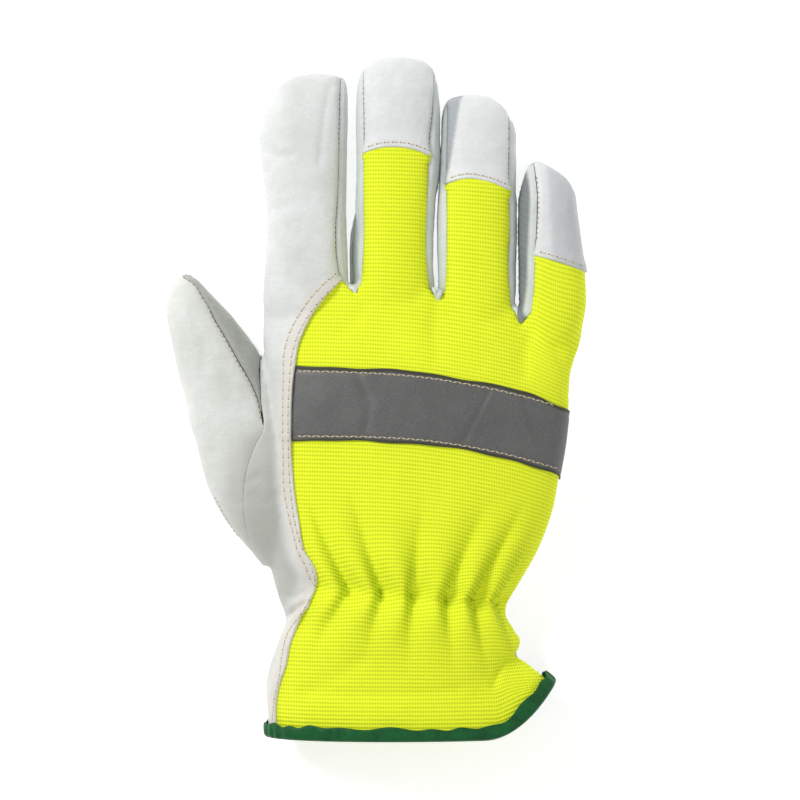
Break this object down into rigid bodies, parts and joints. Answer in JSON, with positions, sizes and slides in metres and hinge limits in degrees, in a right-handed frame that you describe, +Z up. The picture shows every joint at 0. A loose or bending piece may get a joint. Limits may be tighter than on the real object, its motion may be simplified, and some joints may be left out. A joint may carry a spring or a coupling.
{
  "type": "high-visibility driver glove",
  "caption": "Right-hand driver glove with leather palm and fingertips, ribbed yellow knit back, grey reflective knuckle band, gathered wrist and bound cuff.",
  "frame": {"origin": "on the floor under the middle of the glove, which lies on its palm", "axes": "+Y from the cuff to the fingertips, +Z up out of the back of the hand, -X toward the thumb"},
  "size_m": [0.1536, 0.248, 0.0348],
  "materials": {
    "palm_leather": "satin",
    "thumb_leather": "satin",
    "cap_leather": "satin",
    "strip_leather": "satin",
    "yellow_knit": "matte",
    "reflective_tape": "satin",
    "green_binding": "satin"
  },
  "bodies": {
    "root": {"palm_leather": "palm_leather", "thumb_outer": "thumb_leather", "thumb_inner": "strip_leather", "fourchette_index_middle": "strip_leather", "fourchette_middle_ring": "strip_leather", "fourchette_ring_little": "strip_leather", "back_knit": "yellow_knit", "cap_middle": "cap_leather", "cap_ring": "cap_leather", "cap_little": "cap_leather", "reflective_band": "reflective_tape", "hem_binding": "green_binding"}
  },
  "joints": []
}
